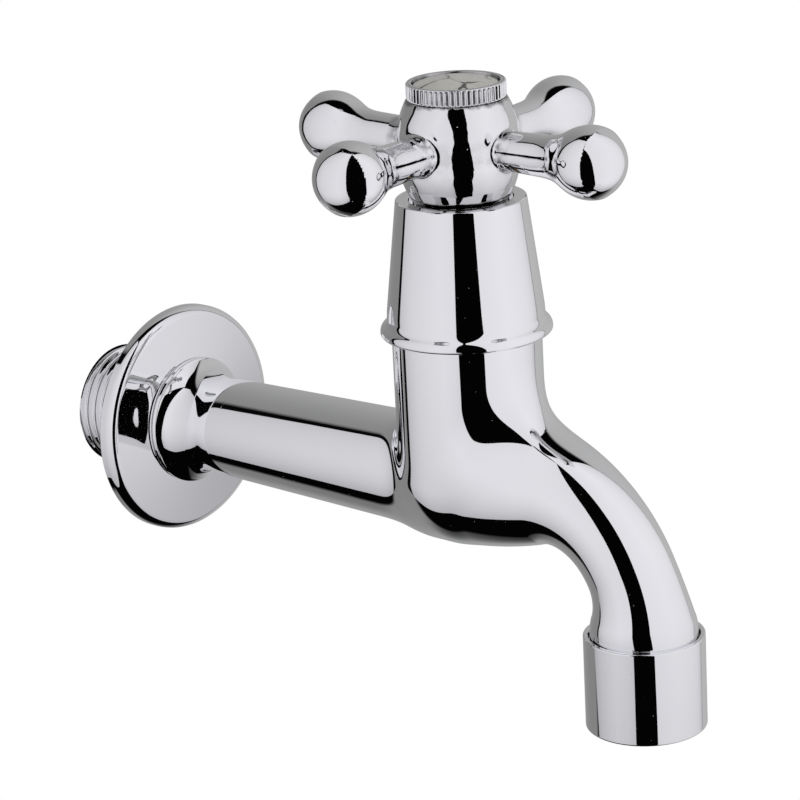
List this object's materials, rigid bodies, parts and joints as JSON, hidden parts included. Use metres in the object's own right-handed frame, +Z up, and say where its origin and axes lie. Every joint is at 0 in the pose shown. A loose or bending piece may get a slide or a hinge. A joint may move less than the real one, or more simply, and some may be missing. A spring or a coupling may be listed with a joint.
{
  "type": "hose bib",
  "caption": "Chrome wall-mounted hose bib with a cross handle, conical shroud, threaded inlet, wall flange and a short curved spout ending in an aerator sleeve.",
  "frame": {"origin": "on the inlet axis in the plane of the finished wall", "axes": "+X out of the wall along the inlet axis, +Z up along the spindle, +Y across the symmetry plane"},
  "size_m": [0.1246, 0.0636, 0.1014],
  "materials": {
    "chrome_body": "polished chrome plate on cast brass",
    "chrome_trim": "polished chrome plate on turned brass",
    "chrome_handle": "polished chrome plate on a zinc casting",
    "chrome_sheet": "polished chrome plate on stamped steel",
    "brass": "turned, bare",
    "rubber": "moulded, black",
    "fibre": "pressed fibre, red-brown",
    "slip_plastic": "white slip plastic",
    "spring_steel": "bright zinc plate",
    "enamel": "ivory enamel under clear lacquer",
    "aerator_plastic": "moulded acetal",
    "gauze": "woven stainless wire"
  },
  "bodies": {
    "root": {"body": "chrome_body", "bonnet": "brass", "bonnet_washer": "fibre", "thrust_washer": "slip_plastic", "shroud": "chrome_trim", "aerator_housing": "chrome_trim", "aerator_washer": "rubber", "aerator_core": "aerator_plastic", "aerator_diffuser": "aerator_plastic", "aerator_screens": "gauze"},
    "handle": {"handle": "chrome_handle", "spindle": "brass", "spindle_o_rings": "rubber", "spindle_clip": "spring_steel", "handle_screw": "spring_steel", "screw_washer": "spring_steel", "index_ring": "chrome_trim", "index_disc": "enamel"},
    "valve": {"valve_piston": "brass", "seat_washer": "rubber", "washer_nut": "brass"},
    "flange": {"wall_flange": "chrome_sheet"}
  },
  "joints": [
    {"name": "handle_turn", "type": "hinge", "parent": "root", "child": "handle", "pos_m": [0.066, 0, 0], "axis": [0, 0, 1], "range_deg": [0, 936]},
    {"name": "valve_lift", "type": "slide", "parent": "root", "child": "valve", "axis": [0, 0, 1], "range_m": [0, 0.0052]},
    {"name": "flange_slide", "type": "slide", "parent": "root", "child": "flange", "axis": [-1, 0, 0], "range_m": [0, 0.01]}
  ],
  "couplings": [
    {"joint": "valve_lift", "follows": "handle_turn", "m_per_rad": 0.00031831}
  ]
}
